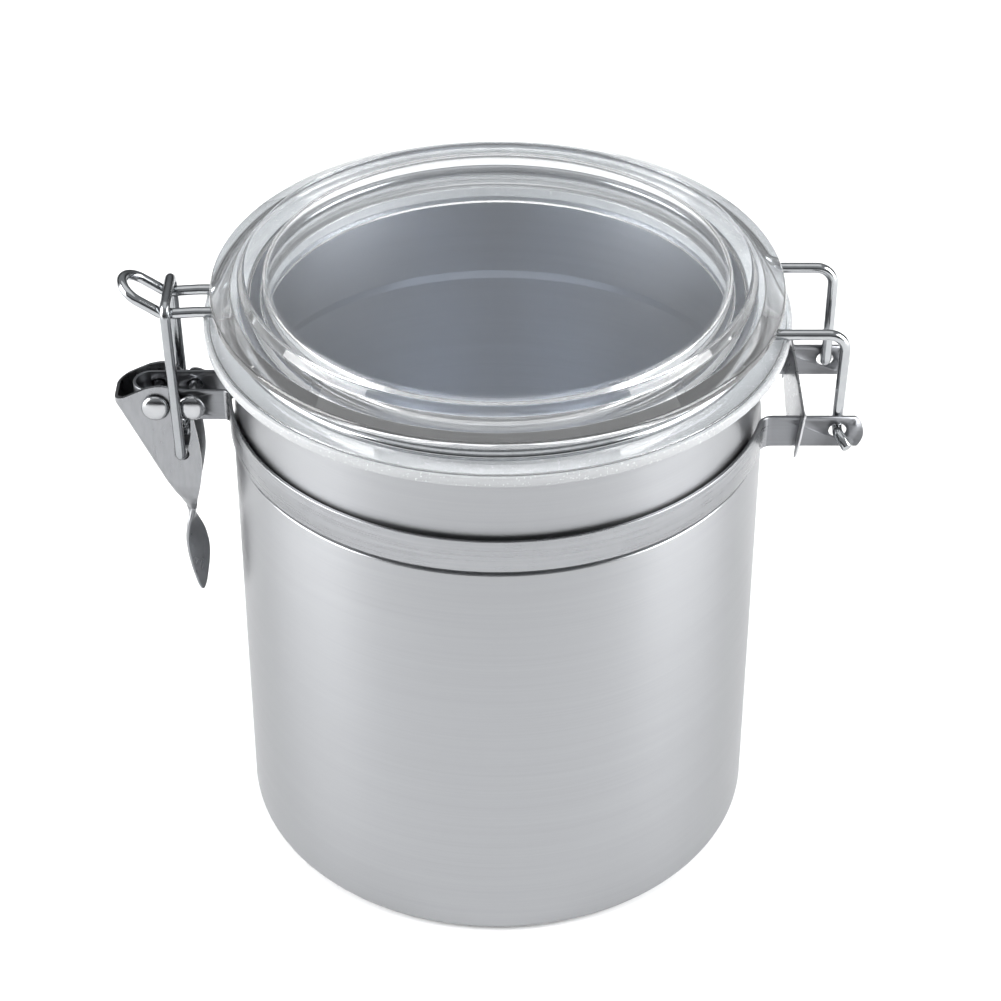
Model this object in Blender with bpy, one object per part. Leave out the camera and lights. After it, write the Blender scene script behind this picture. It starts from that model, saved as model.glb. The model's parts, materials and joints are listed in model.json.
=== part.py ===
"""Stainless steel food canister with a clear lid, a wire bail and an over-centre bail latch.

Frame: metres in Blender, millimetres in the constants below. The origin is the centre of the
flat base, +Z is up, the hinge is at +X and the latch is at -X.
"""

import math

import bmesh
import bpy
from mathutils import Matrix, Vector

MM = 0.001
GAP = 0.3                       # clearance between pieces that touch on the real object
SEGMENTS = 60                   # sides of the turned pieces

# Canister body, drawn from one sheet
BODY_R = 60.0
BODY_HEIGHT = 131.1
WALL = 0.7
BASE_EDGE_R = 3.0
SEAT_R = 59.65                  # shallow seat that the band sits in
SEAT_LOW, SEAT_HIGH = 106.3, 109.0
GROOVE_R, GROOVE_LOW = 59.1, 105.0      # groove along the band's lower edge
NECK_R = 59.2

# Neck band, one strip that also makes the hinge ears and the latch ears
BAND_T = 0.75
BAND_R = BODY_R + 0.325         # middle of the strip
BAND_MID_Z = 110.5
BAND_HALF_H = 4.1
HINGE_EAR_Y = 14.4
HINGE_EAR_END_X = 81.3
HINGE_BEND_R = 3.4
LATCH_EAR_Y = 3.95
LATCH_EAR_END_X = -82.4
LATCH_BEND_R = 2.0

# Wire
WIRE_R = 1.2
WIRE_SIDES = 8

# Hinge
HINGE_X, HINGE_Z = 75.5, BAND_MID_Z
HINGE_HOLE_R = 2.0
LEG_Y = HINGE_EAR_Y - BAND_T / 2 - GAP - WIRE_R
LEG_TOP_X, LEG_TOP_Y = 75.9, 13.9

# Lid, gasket and the bail's ring
LID_TOP_Z = 145.4
LID_PLATE_T = 3.2
RING_R, RING_Z = 59.2, 135.3
SHOULDER_R = 63.5
FLANGE_R = 63.9
FLANGE_TOP = RING_Z - WIRE_R - GAP
FLANGE_LOW = 132.5
SKIRT_R = 54.6
SKIRT_T = 3.0
SKIRT_LOW = 128.9
GASKET_R = 65.1

# Bail tongue on the latch side
TONGUE_Y = 4.7
TONGUE_BEND_X, TONGUE_Z = -74.0, 134.8
TONGUE_RISE = math.radians(34)
TONGUE_LENGTH = 10.6            # from the bend to the middle of the tip

# Latch lever, loop and rivets
PIVOT_X, PIVOT_Z = -77.0, BAND_MID_Z
EAR_RIVET_X = -68.9
RIVET_R = 1.5
RIVET_HOLE_R = RIVET_R + GAP
HEAD_R, HEAD_H = 3.2, 1.6
LEVER_T = 0.75
LEVER_OUTER_Y = LATCH_EAR_Y + BAND_T / 2 + GAP + LEVER_T
LOOP_HOLE = (5.05, -13.0)       # from the pivot
LOOP_HOLE_R = 1.7
LOOP_PIN = (5.05, -12.8)        # from the pivot
LOOP_Y = 7.4
LOOP_TOP_X, LOOP_TOP_Z = -73.0, 137.6

# Lever: its spine, and its width at heights from the pivot as a share of the full width
SPINE_TOP_X = -9.5
SPINE_SLOPE = 0.46
SPINE_CORNER_R = 3.2
LEVER_TAPER = ((3.0, 1.0), (-22.0, 1.0), (-26.0, 0.85), (-29.0, 0.55), (-31.8, 0.2))

# Lever tail, from the pivot: z, middle x, half width, half thickness, and turn about Z
LEVER_TAIL = (
    (-29.5, 5.5, 1.6, 0.72, 0), (-31.5, 5.6, 1.35, 0.75, -35), (-33.0, 5.5, 1.5, 0.70, -75),
    (-35.0, 5.5, 2.1, 0.60, -105), (-37.2, 5.7, 2.8, 0.50, -117), (-39.5, 6.0, 3.25, 0.42, -124),
    (-42.0, 6.3, 3.45, 0.40, -126), (-45.0, 6.6, 3.4, 0.40, -127), (-48.5, 6.75, 2.85, 0.40, -127),
    (-52.0, 6.8, 2.0, 0.40, -126), (-54.5, 6.8, 1.2, 0.40, -125), (-55.8, 6.75, 0.5, 0.36, -125),
)

# Band keeper, the slotted plate across the hinge ears
KEEPER_X, KEEPER_T = 67.6, 0.5
KEEPER_TOP = 116.1
KEEPER_LEAN = 0.12
KEEPER_FLARE = 0.1


def clear_scene():
    for obj in list(bpy.data.objects):
        bpy.data.objects.remove(obj, do_unlink=True)


def make_material(name, color, roughness, metallic, transmission=0.0, ior=1.45):
    mat = bpy.data.materials.new(name)
    mat.use_nodes = True
    shader = mat.node_tree.nodes["Principled BSDF"]
    shader.inputs["Base Color"].default_value = (*color, 1.0)
    shader.inputs["Roughness"].default_value = roughness
    shader.inputs["Metallic"].default_value = metallic
    shader.inputs["Transmission Weight"].default_value = transmission
    shader.inputs["IOR"].default_value = ior
    return mat


def add_mesh_object(name, bm, mat, smooth_angle=35):
    """Closes bm into a mesh object in metres, with its faces pointing out."""
    bmesh.ops.recalc_face_normals(bm, faces=bm.faces)
    bmesh.ops.scale(bm, vec=(MM, MM, MM), verts=bm.verts)
    mesh = bpy.data.meshes.new(name)
    bm.to_mesh(mesh)
    bm.free()
    mesh.shade_smooth()
    mesh.set_sharp_from_angle(angle=math.radians(smooth_angle))
    if mat:
        mesh.materials.append(mat)
    obj = bpy.data.objects.new(name, mesh)
    bpy.context.collection.objects.link(obj)
    return obj


def add_cutter(name, bm):
    cutter = add_mesh_object(name, bm, None)
    cutter.hide_render = True
    cutter.display_type = "WIRE"
    return cutter


def combine(obj, other, operation):
    mod = obj.modifiers.new(other.name, "BOOLEAN")
    mod.object = other
    mod.operation = operation
    mod.solver = "EXACT"


def place_origin(obj, x, y, z):
    """Moves an object's origin to a point in millimetres, and leaves its mesh where it is."""
    point = Vector((x, y, z)) * MM
    obj.data.transform(Matrix.Translation(-point))
    obj.location = point


def arc(center, radius, start, end, steps):
    """Points on an arc in a plane, from one angle to another in degrees."""
    points = []
    for i in range(steps + 1):
        a = math.radians(start + (end - start) * i / steps)
        points.append((center[0] + radius * math.cos(a), center[1] + radius * math.sin(a)))
    return points


# ---------------------------------------------------------------- turned pieces

def lathe(profile, closed):
    """Turns a profile of (radius, z) about Z. A closed profile makes a ring."""
    bm = bmesh.new()
    rings = []
    for r, z in profile:
        if r == 0:
            rings.append([bm.verts.new((0, 0, z))])
            continue
        ring = []
        for i in range(SEGMENTS):
            a = 2 * math.pi * i / SEGMENTS
            ring.append(bm.verts.new((r * math.cos(a), r * math.sin(a), z)))
        rings.append(ring)
    pairs = list(zip(rings, rings[1:]))
    if closed:
        pairs.append((rings[-1], rings[0]))
    for low, high in pairs:
        for i in range(SEGMENTS):
            j = (i + 1) % SEGMENTS
            if len(low) == 1:
                bm.faces.new((low[0], high[i], high[j]))
            elif len(high) == 1:
                bm.faces.new((low[i], low[j], high[0]))
            else:
                bm.faces.new((low[i], low[j], high[j], high[i]))
    return bm


def body_profile():
    inner = BODY_R - WALL
    edge_center = (BODY_R - BASE_EDGE_R, BASE_EDGE_R)
    outside = [(0, 0)]
    outside += arc(edge_center, BASE_EDGE_R, -90, 0, 4)
    outside += [(BODY_R, GROOVE_LOW - 0.4), (BODY_R - 0.25, GROOVE_LOW - 0.1)]
    outside += [(GROOVE_R, GROOVE_LOW), (GROOVE_R, SEAT_LOW - 0.2), (SEAT_R, SEAT_LOW)]
    outside += [(SEAT_R, SEAT_HIGH), (SEAT_R - 0.1, SEAT_HIGH + 0.8)]
    outside += [(NECK_R + 0.1, SEAT_HIGH + 1.7), (NECK_R, SEAT_HIGH + 2.5)]
    lip = [(NECK_R, BODY_HEIGHT - 1.9), (NECK_R + 0.7, BODY_HEIGHT - 1.1)]
    lip += [(NECK_R + 0.6, BODY_HEIGHT - 0.2), (NECK_R, BODY_HEIGHT)]
    lip += [(NECK_R - 0.6, BODY_HEIGHT - 0.15), (NECK_R - 0.8, BODY_HEIGHT - 0.7)]
    inside = [(NECK_R - WALL, SEAT_HIGH + 2.3), (NECK_R - WALL + 0.1, SEAT_HIGH + 1.4)]
    inside += [(SEAT_R - WALL, SEAT_HIGH), (SEAT_R - WALL, SEAT_LOW + 0.3)]
    inside += [(GROOVE_R - WALL, SEAT_LOW - 0.3), (GROOVE_R - WALL, GROOVE_LOW + 0.3)]
    inside += [(inner, GROOVE_LOW - 1.0)]
    inside += arc(edge_center, BASE_EDGE_R - WALL, 0, -90, 3)
    inside += [(0, WALL)]
    return outside + lip + inside


def make_body(mat):
    return add_mesh_object("canister_body", lathe(body_profile(), closed=False), mat)


def lid_profile():
    top = [(0, LID_TOP_Z), (SKIRT_R, LID_TOP_Z), (55.7, LID_TOP_Z - 0.4), (56.3, LID_TOP_Z - 1.3)]
    shoulder = [(57.0, 143.5), (SHOULDER_R - 1.0, 141.4), (SHOULDER_R - 0.2, 140.9)]
    shoulder += [(SHOULDER_R, 140.3), (SHOULDER_R - 0.2, 139.7)]
    groove_r = RING_R - WIRE_R - GAP
    groove = [(groove_r + 0.6, 139.2), (groove_r, 138.6)]
    groove += [(groove_r, FLANGE_TOP + 0.6), (groove_r + 0.6, FLANGE_TOP)]
    flange = [(FLANGE_R - 0.4, FLANGE_TOP), (FLANGE_R, FLANGE_TOP - 0.4)]
    flange += [(FLANGE_R, FLANGE_LOW + 0.3), (FLANGE_R - 0.3, FLANGE_LOW)]
    skirt = [(SKIRT_R, FLANGE_LOW), (SKIRT_R, SKIRT_LOW + 0.7), (SKIRT_R - 0.7, SKIRT_LOW)]
    inside_r = SKIRT_R - SKIRT_T
    skirt += [(inside_r + 0.7, SKIRT_LOW), (inside_r, SKIRT_LOW + 0.7)]
    under = [(inside_r, LID_TOP_Z - LID_PLATE_T - 1.2), (inside_r - 1.2, LID_TOP_Z - LID_PLATE_T)]
    under += [(0, LID_TOP_Z - LID_PLATE_T)]
    return top + shoulder + groove + flange + skirt + under


def make_lid(mat):
    lid = add_mesh_object("lid", lathe(lid_profile(), closed=False), mat)
    place_origin(lid, HINGE_X, 0, HINGE_Z)
    return lid


def make_gasket(mat):
    """A flange under the lid's, with a lip round its edge and a collar round the skirt."""
    low, high = BODY_HEIGHT + GAP, FLANGE_LOW - GAP
    inner = SKIRT_R + GAP
    lip_in, lip_top = FLANGE_R + GAP, FLANGE_TOP
    profile = [(inner, high), (lip_in, high), (lip_in, lip_top - 0.4), (lip_in + 0.3, lip_top)]
    profile += [(GASKET_R - 0.3, lip_top), (GASKET_R, lip_top - 0.5)]
    profile += [(GASKET_R, low + 0.5), (GASKET_R - 0.5, low), (inner + 1.1, low)]
    profile += [(inner + 1.1, low - 1.6), (inner, low - 1.6)]
    gasket = add_mesh_object("lid_gasket", lathe(profile, closed=True), mat)
    place_origin(gasket, HINGE_X, 0, HINGE_Z)
    return gasket


# ---------------------------------------------------------------- neck band

def ear_fillet(ring_r, ear_y, bend_r, side, steps):
    """The bend from an ear along X into the strip's circle, on the -Y half.

    Returns the arc's points, from the ear to the circle, and the angle of the last one.
    """
    center_y = -(ear_y + bend_r)
    center_x = side * math.sqrt((ring_r + bend_r) ** 2 - center_y ** 2)
    end = math.degrees(math.atan2(-center_y, -center_x))
    points = arc((center_x, center_y), bend_r, 90, end, steps)
    return points, math.degrees(math.atan2(points[-1][1], points[-1][0]))


def band_path():
    """The strip's middle line in plan: hinge ear, front half, latch ear, and their mirror."""
    hinge, hinge_angle = ear_fillet(BAND_R, HINGE_EAR_Y, HINGE_BEND_R, 1, 5)
    latch, latch_angle = ear_fillet(BAND_R, LATCH_EAR_Y, LATCH_BEND_R, -1, 4)
    half = [(HINGE_EAR_END_X, -HINGE_EAR_Y)] + hinge
    half += arc((0, 0), BAND_R, hinge_angle, latch_angle, 26)[1:-1]
    half += list(reversed(latch))
    turn_x = LATCH_EAR_END_X + LATCH_EAR_Y + BAND_T / 2
    turn = arc((turn_x, 0), LATCH_EAR_Y, -90, -270, 10)
    mirrored = [(x, -y) for x, y in reversed(half)]
    return half + turn + mirrored


def strip(path, thickness, low, high):
    """A strip on edge: its path in plan, its thickness across the path, and its height."""
    bm = bmesh.new()
    columns = []
    for i, point in enumerate(path):
        before = Vector(path[max(i - 1, 0)])
        after = Vector(path[min(i + 1, len(path) - 1)])
        along = (after - before).normalized()
        side = Vector((-along.y, along.x)) * thickness / 2
        here = Vector(point)
        column = [(here + side, low), (here + side, high), (here - side, high), (here - side, low)]
        columns.append([bm.verts.new((p.x, p.y, z)) for p, z in column])
    for a, b in zip(columns, columns[1:]):
        for k in range(4):
            m = (k + 1) % 4
            bm.faces.new((a[k], a[m], b[m], b[k]))
    bm.faces.new(columns[0])
    bm.faces.new(list(reversed(columns[-1])))
    return bm


def rod_along_y(x, z, radius, half_length, sides):
    bm = bmesh.new()
    turn = Matrix.Rotation(math.radians(90), 4, "X")
    bmesh.ops.create_cone(
        bm, cap_ends=True, segments=sides, radius1=radius, radius2=radius,
        depth=2 * half_length, matrix=Matrix.Translation((x, 0, z)) @ turn,
    )
    return bm


def prism_along_y(outline, half_depth):
    """Extrudes an outline of (x, z) along Y, the same distance both ways."""
    bm = bmesh.new()
    front = [bm.verts.new((x, -half_depth, z)) for x, z in outline]
    back = [bm.verts.new((x, half_depth, z)) for x, z in outline]
    bm.faces.new(front)
    bm.faces.new(list(reversed(back)))
    for i in range(len(outline)):
        j = (i + 1) % len(outline)
        bm.faces.new((front[i], back[i], back[j], front[j]))
    return bm


def make_band(mat):
    low, high = BAND_MID_Z - BAND_HALF_H, BAND_MID_Z + BAND_HALF_H
    band = add_mesh_object("neck_band", strip(band_path(), BAND_T, low, high), mat)
    end_r = 5.5
    end = arc((HINGE_EAR_END_X - end_r, BAND_MID_Z - 0.6), end_r, -62, 62, 8)
    outline = end + [(end[-1][0], high + 5), (HINGE_EAR_END_X + 5, high + 5)]
    outline += [(HINGE_EAR_END_X + 5, low - 5), (end[0][0], low - 5)]
    combine(band, add_cutter("ear_end_cutter", prism_along_y(outline, 20)), "DIFFERENCE")
    hinge_hole = rod_along_y(HINGE_X, HINGE_Z, HINGE_HOLE_R, 20, 20)
    combine(band, add_cutter("hinge_hole_cutter", hinge_hole), "DIFFERENCE")
    for name, x in (("pivot_hole_cutter", PIVOT_X), ("ear_rivet_hole_cutter", EAR_RIVET_X)):
        hole = rod_along_y(x, BAND_MID_Z, RIVET_HOLE_R, 8, 16)
        combine(band, add_cutter(name, hole), "DIFFERENCE")
    return band


def make_keeper(mat):
    """A plate across the hinge ears: a web between them, and a pointed tab outside each."""
    slot_in = HINGE_EAR_Y - BAND_T / 2 - GAP
    slot_out = HINGE_EAR_Y + BAND_T / 2 + GAP
    ear_top = BAND_MID_Z + BAND_HALF_H + GAP
    tab_tip_y, tab_end_y = slot_out + 0.9, slot_out + 2.2
    web_low_mid, web_low_end = 103.8, 106.6
    columns = [(0, web_low_mid), (slot_in * 0.55, web_low_mid + 0.6), (slot_in, web_low_end)]
    tab = [(slot_out, 106.6), (tab_tip_y, 104.0), (tab_end_y, 108.0)]
    bm = bmesh.new()

    def corner(y, z):
        flare = KEEPER_FLARE * max(0.0, abs(y) - slot_out)
        return bm.verts.new((KEEPER_X + KEEPER_LEAN * (z - KEEPER_TOP) + flare, y, z))

    for side in (-1, 1):
        stations = [(y, (low, ear_top, KEEPER_TOP)) for y, low in columns + tab]
        rows = [[corner(side * y, z) for z in levels] for y, levels in stations]
        slot_index = len(columns) - 1
        for i, (a, b) in enumerate(zip(rows, rows[1:])):
            bm.faces.new((a[1], b[1], b[2], a[2]))
            if i != slot_index:
                bm.faces.new((a[0], b[0], b[1], a[1]))
    bmesh.ops.remove_doubles(bm, verts=bm.verts, dist=0.001)
    keeper = add_mesh_object("band_keeper", bm, mat)
    solid = keeper.modifiers.new("thickness", "SOLIDIFY")
    solid.thickness = KEEPER_T * MM
    solid.offset = 0
    return keeper


# ---------------------------------------------------------------- wires

def rounded_path(points, radii, steps=5):
    """A 3-D path with an arc of the given radius at each inner point."""
    points = [Vector(p) for p in points]
    path = [points[0]]
    for before, corner, after, radius in zip(points, points[1:], points[2:], radii):
        u = (before - corner).normalized()
        v = (after - corner).normalized()
        half = u.angle(v) / 2
        reach = radius / math.tan(half)
        center = corner + (u + v).normalized() * (radius / math.sin(half))
        start = corner + u * reach - center
        end = corner + v * reach - center
        sweep = start.angle(end)
        for i in range(steps + 1):
            t = i / steps
            weight_a = math.sin((1 - t) * sweep) / math.sin(sweep)
            weight_b = math.sin(t * sweep) / math.sin(sweep)
            path.append(center + start * weight_a + end * weight_b)
    path.append(points[-1])
    return path


def wire(path, radius, sides):
    """A round wire along a path, with flat ends. Its frame turns as little as it can."""
    path = [Vector(p) for p in path]
    bm = bmesh.new()
    tangents = []
    for i in range(len(path)):
        tangents.append((path[min(i + 1, len(path) - 1)] - path[max(i - 1, 0)]).normalized())
    normal = tangents[0].orthogonal().normalized()
    rings = []
    for point, tangent in zip(path, tangents):
        normal = (normal - tangent * normal.dot(tangent)).normalized()
        other = tangent.cross(normal)
        ring = []
        for k in range(sides):
            a = 2 * math.pi * k / sides
            ring.append(bm.verts.new(point + radius * (math.cos(a) * normal + math.sin(a) * other)))
        rings.append(ring)
    for a, b in zip(rings, rings[1:]):
        for k in range(sides):
            m = (k + 1) % sides
            bm.faces.new((a[k], a[m], b[m], b[k]))
    bm.faces.new(rings[0])
    bm.faces.new(list(reversed(rings[-1])))
    return bm


def hinge_leg():
    """From the splayed end outside the front ear, up the leg and in to the lid, on the -Y side."""
    end = (HINGE_X + 1.9, -(HINGE_EAR_Y + 4.6), HINGE_Z - 1.8)
    corners = [end, (HINGE_X, -(HINGE_EAR_Y + 1.4), HINGE_Z), (HINGE_X, -LEG_Y, HINGE_Z)]
    corners += [(LEG_TOP_X, -LEG_TOP_Y, RING_Z), (RING_R + 6, -LEG_TOP_Y, RING_Z)]
    return rounded_path(corners, (1.6, 1.6, 4.0), steps=4)


def ring_part(start_y, start_bend, end_y, end_bend, steps):
    """The ring in the lid's groove on the -Y half, from the hinge leg to the tongue."""
    first, first_angle = ear_fillet(RING_R, start_y, start_bend, 1, 4)
    last, last_angle = ear_fillet(RING_R, end_y, end_bend, -1, 4)
    plan = first + arc((0, 0), RING_R, first_angle, last_angle, steps)[1:-1]
    plan += list(reversed(last))
    return [Vector((x, y, RING_Z)) for x, y in plan]


def tongue_half():
    """From the lid out along the front wire and round the raised tip to its middle."""
    rise = Vector((-math.cos(TONGUE_RISE), 0, math.sin(TONGUE_RISE)))
    bend = Vector((TONGUE_BEND_X, -TONGUE_Y, TONGUE_Z))
    straight_end = bend + rise * (TONGUE_LENGTH - TONGUE_Y)
    corners = [(-63.5, -TONGUE_Y, RING_Z), (-66.5, -TONGUE_Y, RING_Z), bend, straight_end]
    path = rounded_path(corners, (5.0, 3.0), steps=3)
    center = straight_end + Vector((0, TONGUE_Y, 0))
    across = Vector((0, -TONGUE_Y, 0))
    for i in range(1, 6):
        a = math.radians(90 * i / 5)
        path.append(center + across * math.cos(a) + rise * (TONGUE_Y * math.sin(a)))
    return path


def make_bail(mat):
    half = hinge_leg() + ring_part(LEG_TOP_Y, 2.4, TONGUE_Y, 2.4, 22) + tongue_half()
    mirrored = [Vector((p.x, -p.y, p.z)) for p in reversed(half[:-1])]
    bail = add_mesh_object("lid_bail", wire(half + mirrored, WIRE_R, WIRE_SIDES), mat, 60)
    place_origin(bail, HINGE_X, 0, HINGE_Z)
    return bail


def make_loop(mat):
    """The latch's wire loop: a crossbar over the tongue, two legs, and ends in the lever."""
    pin_x, pin_z = PIVOT_X + LOOP_PIN[0], PIVOT_Z + LOOP_PIN[1]
    inner_y = LATCH_EAR_Y - BAND_T
    corners = [(pin_x, -inner_y, pin_z), (pin_x, -LOOP_Y, pin_z), (LOOP_TOP_X, -LOOP_Y, LOOP_TOP_Z)]
    corners += [(x, -y, z) for x, y, z in reversed(corners)]
    path = rounded_path(corners, (1.6, 2.4, 2.4, 1.6), steps=5)
    loop = add_mesh_object("latch_loop", wire(path, WIRE_R, 10), mat, 60)
    place_origin(loop, pin_x, 0, pin_z)
    return loop


# ---------------------------------------------------------------- rivets

def make_rivet(name, x, mat):
    """A rivet along Y through both ears and both sides of the lever, domed at both ends."""
    sides = 16
    head_y = LEVER_OUTER_Y + GAP
    profile = [(0, -head_y - HEAD_H)]
    for degrees in (30, 55, 75):
        a = math.radians(degrees)
        profile.append((HEAD_R * math.sin(a), -head_y - HEAD_H * math.cos(a)))
    profile += [(HEAD_R, -head_y), (RIVET_R, -head_y)]
    profile += [(r, -y) for r, y in reversed(profile)]
    bm = bmesh.new()
    rings = []
    for r, y in profile:
        count = sides if r else 1
        angles = [2 * math.pi * i / sides for i in range(count)]
        rings.append([
            bm.verts.new((x + r * math.cos(a), y, BAND_MID_Z + r * math.sin(a))) for a in angles
        ])
    for a, b in zip(rings, rings[1:]):
        for i in range(sides):
            j = (i + 1) % sides
            if len(a) == 1:
                bm.faces.new((a[0], b[i], b[j]))
            elif len(b) == 1:
                bm.faces.new((a[i], a[j], b[0]))
            else:
                bm.faces.new((a[i], a[j], b[j], b[i]))
    return add_mesh_object(name, bm, mat)


# ---------------------------------------------------------------- latch lever

def spine_x(z):
    """The outer face of the lever's spine: upright at the top, then slanting in."""
    return SPINE_TOP_X - SPINE_SLOPE * min(z, 0.0)


def lever_half_width(z):
    """Half of the lever's width across Y, which narrows down to the neck."""
    for (z_high, a), (z_low, b) in zip(LEVER_TAPER, LEVER_TAPER[1:]):
        if z >= z_low:
            t = min(max((z_high - z) / (z_high - z_low), 0.0), 1.0)
            return LEVER_OUTER_Y * (a + (b - a) * t)
    return LEVER_OUTER_Y * LEVER_TAPER[-1][1]


def channel(levels, inset, right):
    """A block with a rounded spine at -X, inset from the lever's outer surface."""
    bm = bmesh.new()
    rings = []
    for z in levels:
        half = lever_half_width(z) - inset
        left = spine_x(z) + inset
        corner_r = min(max(SPINE_CORNER_R - inset, 0.5), half * 0.8)
        plan = [(right, half)]
        plan += arc((left + corner_r, half - corner_r), corner_r, 90, 180, 4)
        plan += arc((left + corner_r, -half + corner_r), corner_r, 180, 270, 4)
        plan += [(right, -half)]
        rings.append([bm.verts.new((PIVOT_X + x, y, PIVOT_Z + z)) for x, y in plan])
    count = len(rings[0])
    for a, b in zip(rings, rings[1:]):
        for k in range(count):
            m = (k + 1) % count
            bm.faces.new((a[k], a[m], b[m], b[k]))
    bm.faces.new(rings[0])
    bm.faces.new(list(reversed(rings[-1])))
    return bm


def lever_outline():
    """The side plates' outline, with the keyhole for the loop and the hook under the rivet."""
    clear_r = EAR_RIVET_X - PIVOT_X - RIVET_R - 2 * GAP
    outline = [(-14.0, 1.2), (-9.5, 1.2), (-3.0, 4.3), (-1.0, 5.0), (1.2, 5.3), (3.4, 4.9)]
    outline += arc((0, 0), clear_r, 36, -24, 5)
    outline += [(4.2, -6.0), (3.5, -9.5)]
    outline += arc(LOOP_HOLE, LOOP_HOLE_R, 170, 400, 9)
    outline += [(7.0, -9.6), (7.4, -7.2), (7.5, -4.6), (7.6, -3.3), (8.2, -3.8), (8.7, -7.5)]
    outline += [(9.2, -12.0), (9.35, -16.4), (9.1, -19.4), (8.4, -23.4), (7.4, -27.6), (6.6, -31.0)]
    outline += [(6.6, -34.0), (-14.0, -34.0)]
    return [(PIVOT_X + x, PIVOT_Z + z) for x, z in outline]


def lever_tail():
    """The twisted tail: a lens-shaped blade, lofted through its sections."""
    corner = [(1, 0.5), (0.5, 1), (-0.5, 1), (-1, 0.5)]
    section = corner + [(-u, -v) for u, v in corner]
    bm = bmesh.new()
    rings = []
    for z, x, half, thick, turn in LEVER_TAIL:
        a = math.radians(turn)
        along = Vector((math.cos(a), math.sin(a), 0))
        across = Vector((-math.sin(a), math.cos(a), 0))
        middle = Vector((PIVOT_X + x, 0, PIVOT_Z + z))
        ring = []
        for u, v in section:
            ring.append(bm.verts.new(middle + along * (half * u) + across * (thick * v)))
        rings.append(ring)
    for a, b in zip(rings, rings[1:]):
        for k in range(len(section)):
            m = (k + 1) % len(section)
            bm.faces.new((a[k], a[m], b[m], b[k]))
    bm.faces.new(rings[0])
    bm.faces.new(list(reversed(rings[-1])))
    return bm


def make_lever(mat):
    outer_levels = (-32.2, -31.8, -29.0, -27.5, -26.0, -24.0, -22.0, 0.0, 8.0)
    inner_levels = (-29.0, -27.5, -26.0, -24.0, -22.0, 0.0, 12.0)
    lever = add_mesh_object("latch_lever", channel(outer_levels, 0.0, 14.0), mat)
    inside = channel(inner_levels, LEVER_T, 18.0)
    combine(lever, add_cutter("lever_inside_cutter", inside), "DIFFERENCE")
    outline = prism_along_y(lever_outline(), 12)
    combine(lever, add_cutter("lever_outline_cutter", outline), "INTERSECT")
    hole = rod_along_y(PIVOT_X, PIVOT_Z, RIVET_HOLE_R, 10, 16)
    combine(lever, add_cutter("lever_pivot_cutter", hole), "DIFFERENCE")
    combine(lever, add_cutter("lever_tail_shape", lever_tail()), "UNION")
    place_origin(lever, PIVOT_X, 0, PIVOT_Z)
    return lever


def main():
    clear_scene()
    steel = make_material("brushed_steel", (0.62, 0.63, 0.65), 0.32, 1.0)
    strip_steel = make_material("strip_steel", (0.60, 0.61, 0.63), 0.35, 1.0)
    keeper_steel = make_material("keeper_steel", (0.66, 0.67, 0.68), 0.30, 1.0)
    chrome = make_material("polished_wire", (0.78, 0.79, 0.80), 0.12, 1.0)
    loop_wire = make_material("loop_wire", (0.74, 0.75, 0.76), 0.18, 1.0)
    rivet_metal = make_material("rivet_metal", (0.80, 0.80, 0.81), 0.15, 1.0)
    lever_steel = make_material("lever_steel", (0.64, 0.64, 0.65), 0.30, 1.0)
    acrylic = make_material("clear_acrylic", (0.96, 0.97, 0.98), 0.03, 0.0, 1.0, 1.49)
    silicone = make_material("white_silicone", (0.85, 0.86, 0.86), 0.45, 0.0)

    make_body(steel)
    make_band(strip_steel)
    make_keeper(keeper_steel)
    make_rivet("pivot_rivet", PIVOT_X, rivet_metal)
    make_rivet("ear_rivet", EAR_RIVET_X, rivet_metal)
    make_lid(acrylic)
    make_gasket(silicone)
    make_bail(chrome)
    make_lever(lever_steel)
    make_loop(loop_wire)


main()
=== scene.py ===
import json
import math

import bmesh
import bpy
from mathutils import Matrix, Vector


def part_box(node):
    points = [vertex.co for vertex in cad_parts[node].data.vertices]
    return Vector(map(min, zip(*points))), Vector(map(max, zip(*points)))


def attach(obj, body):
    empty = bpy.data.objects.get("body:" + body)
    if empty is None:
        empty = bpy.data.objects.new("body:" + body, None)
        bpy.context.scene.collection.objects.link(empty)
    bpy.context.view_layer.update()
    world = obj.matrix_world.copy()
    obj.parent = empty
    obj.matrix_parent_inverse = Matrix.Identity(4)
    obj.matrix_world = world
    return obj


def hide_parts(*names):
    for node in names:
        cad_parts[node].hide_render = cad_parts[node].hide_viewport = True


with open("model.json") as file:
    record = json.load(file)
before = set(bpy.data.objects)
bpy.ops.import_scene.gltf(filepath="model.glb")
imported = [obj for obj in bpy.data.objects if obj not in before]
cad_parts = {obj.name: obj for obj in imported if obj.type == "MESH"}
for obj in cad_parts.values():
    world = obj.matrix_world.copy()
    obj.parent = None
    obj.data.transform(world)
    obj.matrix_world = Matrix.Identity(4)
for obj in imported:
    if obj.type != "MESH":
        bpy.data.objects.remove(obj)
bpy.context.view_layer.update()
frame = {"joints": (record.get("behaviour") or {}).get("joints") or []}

# The looks of a food canister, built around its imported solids. Lengths are in millimetres until
# add_piece scales them. Places come from the frame's nodes and joints, or from the constants
# below.

MM = 0.001
GAP = 0.3


def node_box(name):
    low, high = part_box(name)
    return low / MM, high / MM


def joint_place(name):
    found = next(j for j in frame["joints"] if j["name"] == name)
    return Vector(found["pos_m"]) / MM


BODY_HIGH = node_box("canister_body")[1]
BAND_LOW, BAND_HIGH = node_box("neck_band")
LID_LOW, LID_HIGH = node_box("lid")
GASKET_LOW, GASKET_HIGH = node_box("lid_gasket")
RIVET_LOW, RIVET_HIGH = node_box("pivot_rivet")
EAR_RIVET_LOW, EAR_RIVET_HIGH = node_box("ear_rivet")
HINGE = joint_place("lid_hinge")
PIVOT = joint_place("lever_pivot")
LOOP_PIN = joint_place("loop_pivot")

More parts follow.
